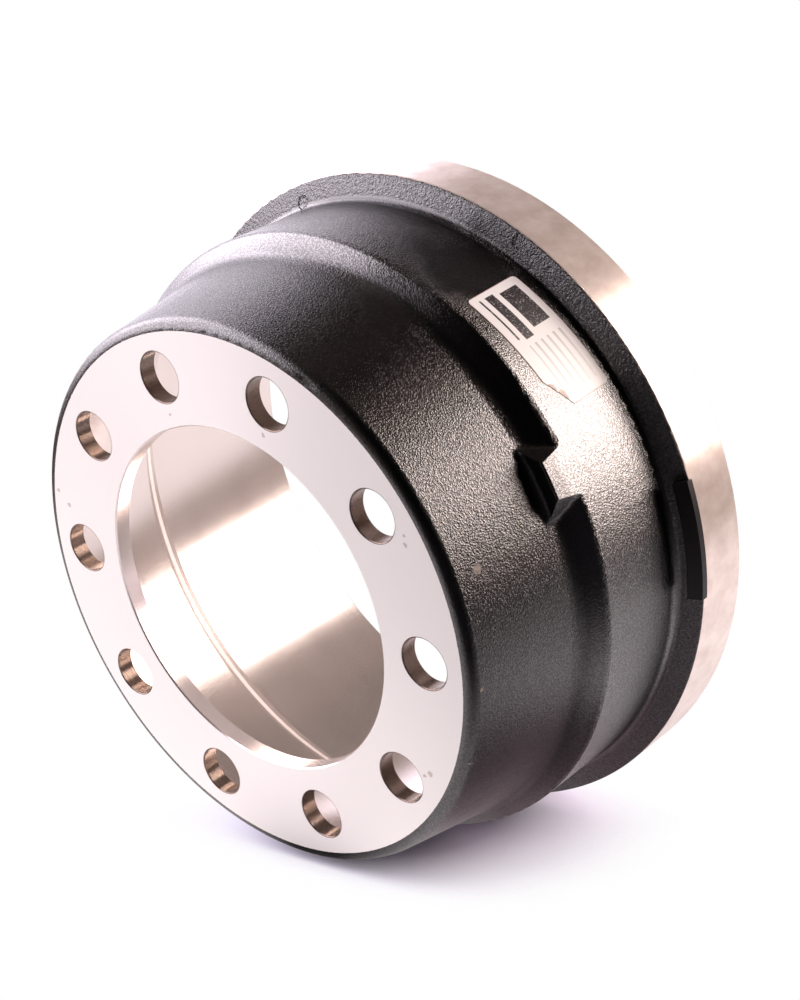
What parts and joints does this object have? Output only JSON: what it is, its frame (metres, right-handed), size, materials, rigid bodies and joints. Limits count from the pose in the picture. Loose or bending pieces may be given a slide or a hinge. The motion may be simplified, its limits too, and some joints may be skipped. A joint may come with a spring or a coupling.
{
  "type": "brake drum",
  "caption": "Stepped cast iron truck brake drum: flat drilled mounting face with a pilot bore, tapered barrel, wider body, ringed open end.",
  "frame": {"origin": "centre of the open end, in the plane the drum stands on", "axes": "+Z along the axle, out of the wheel's mounting face; +X through the centre of one bolt hole; the cast lug is near -Y"},
  "size_m": [0.4348, 0.4365, 0.2222],
  "materials": {
    "drum_iron": "black paint on the cast outside, bare machined mounting face, bores and ring",
    "weight_steel": "black semi-gloss paint",
    "label_paper": "white coated paper, no print copied"
  },
  "bodies": {
    "root": {"brake_drum": "drum_iron", "balance_weight": "weight_steel", "label": "label_paper"}
  },
  "joints": []
}
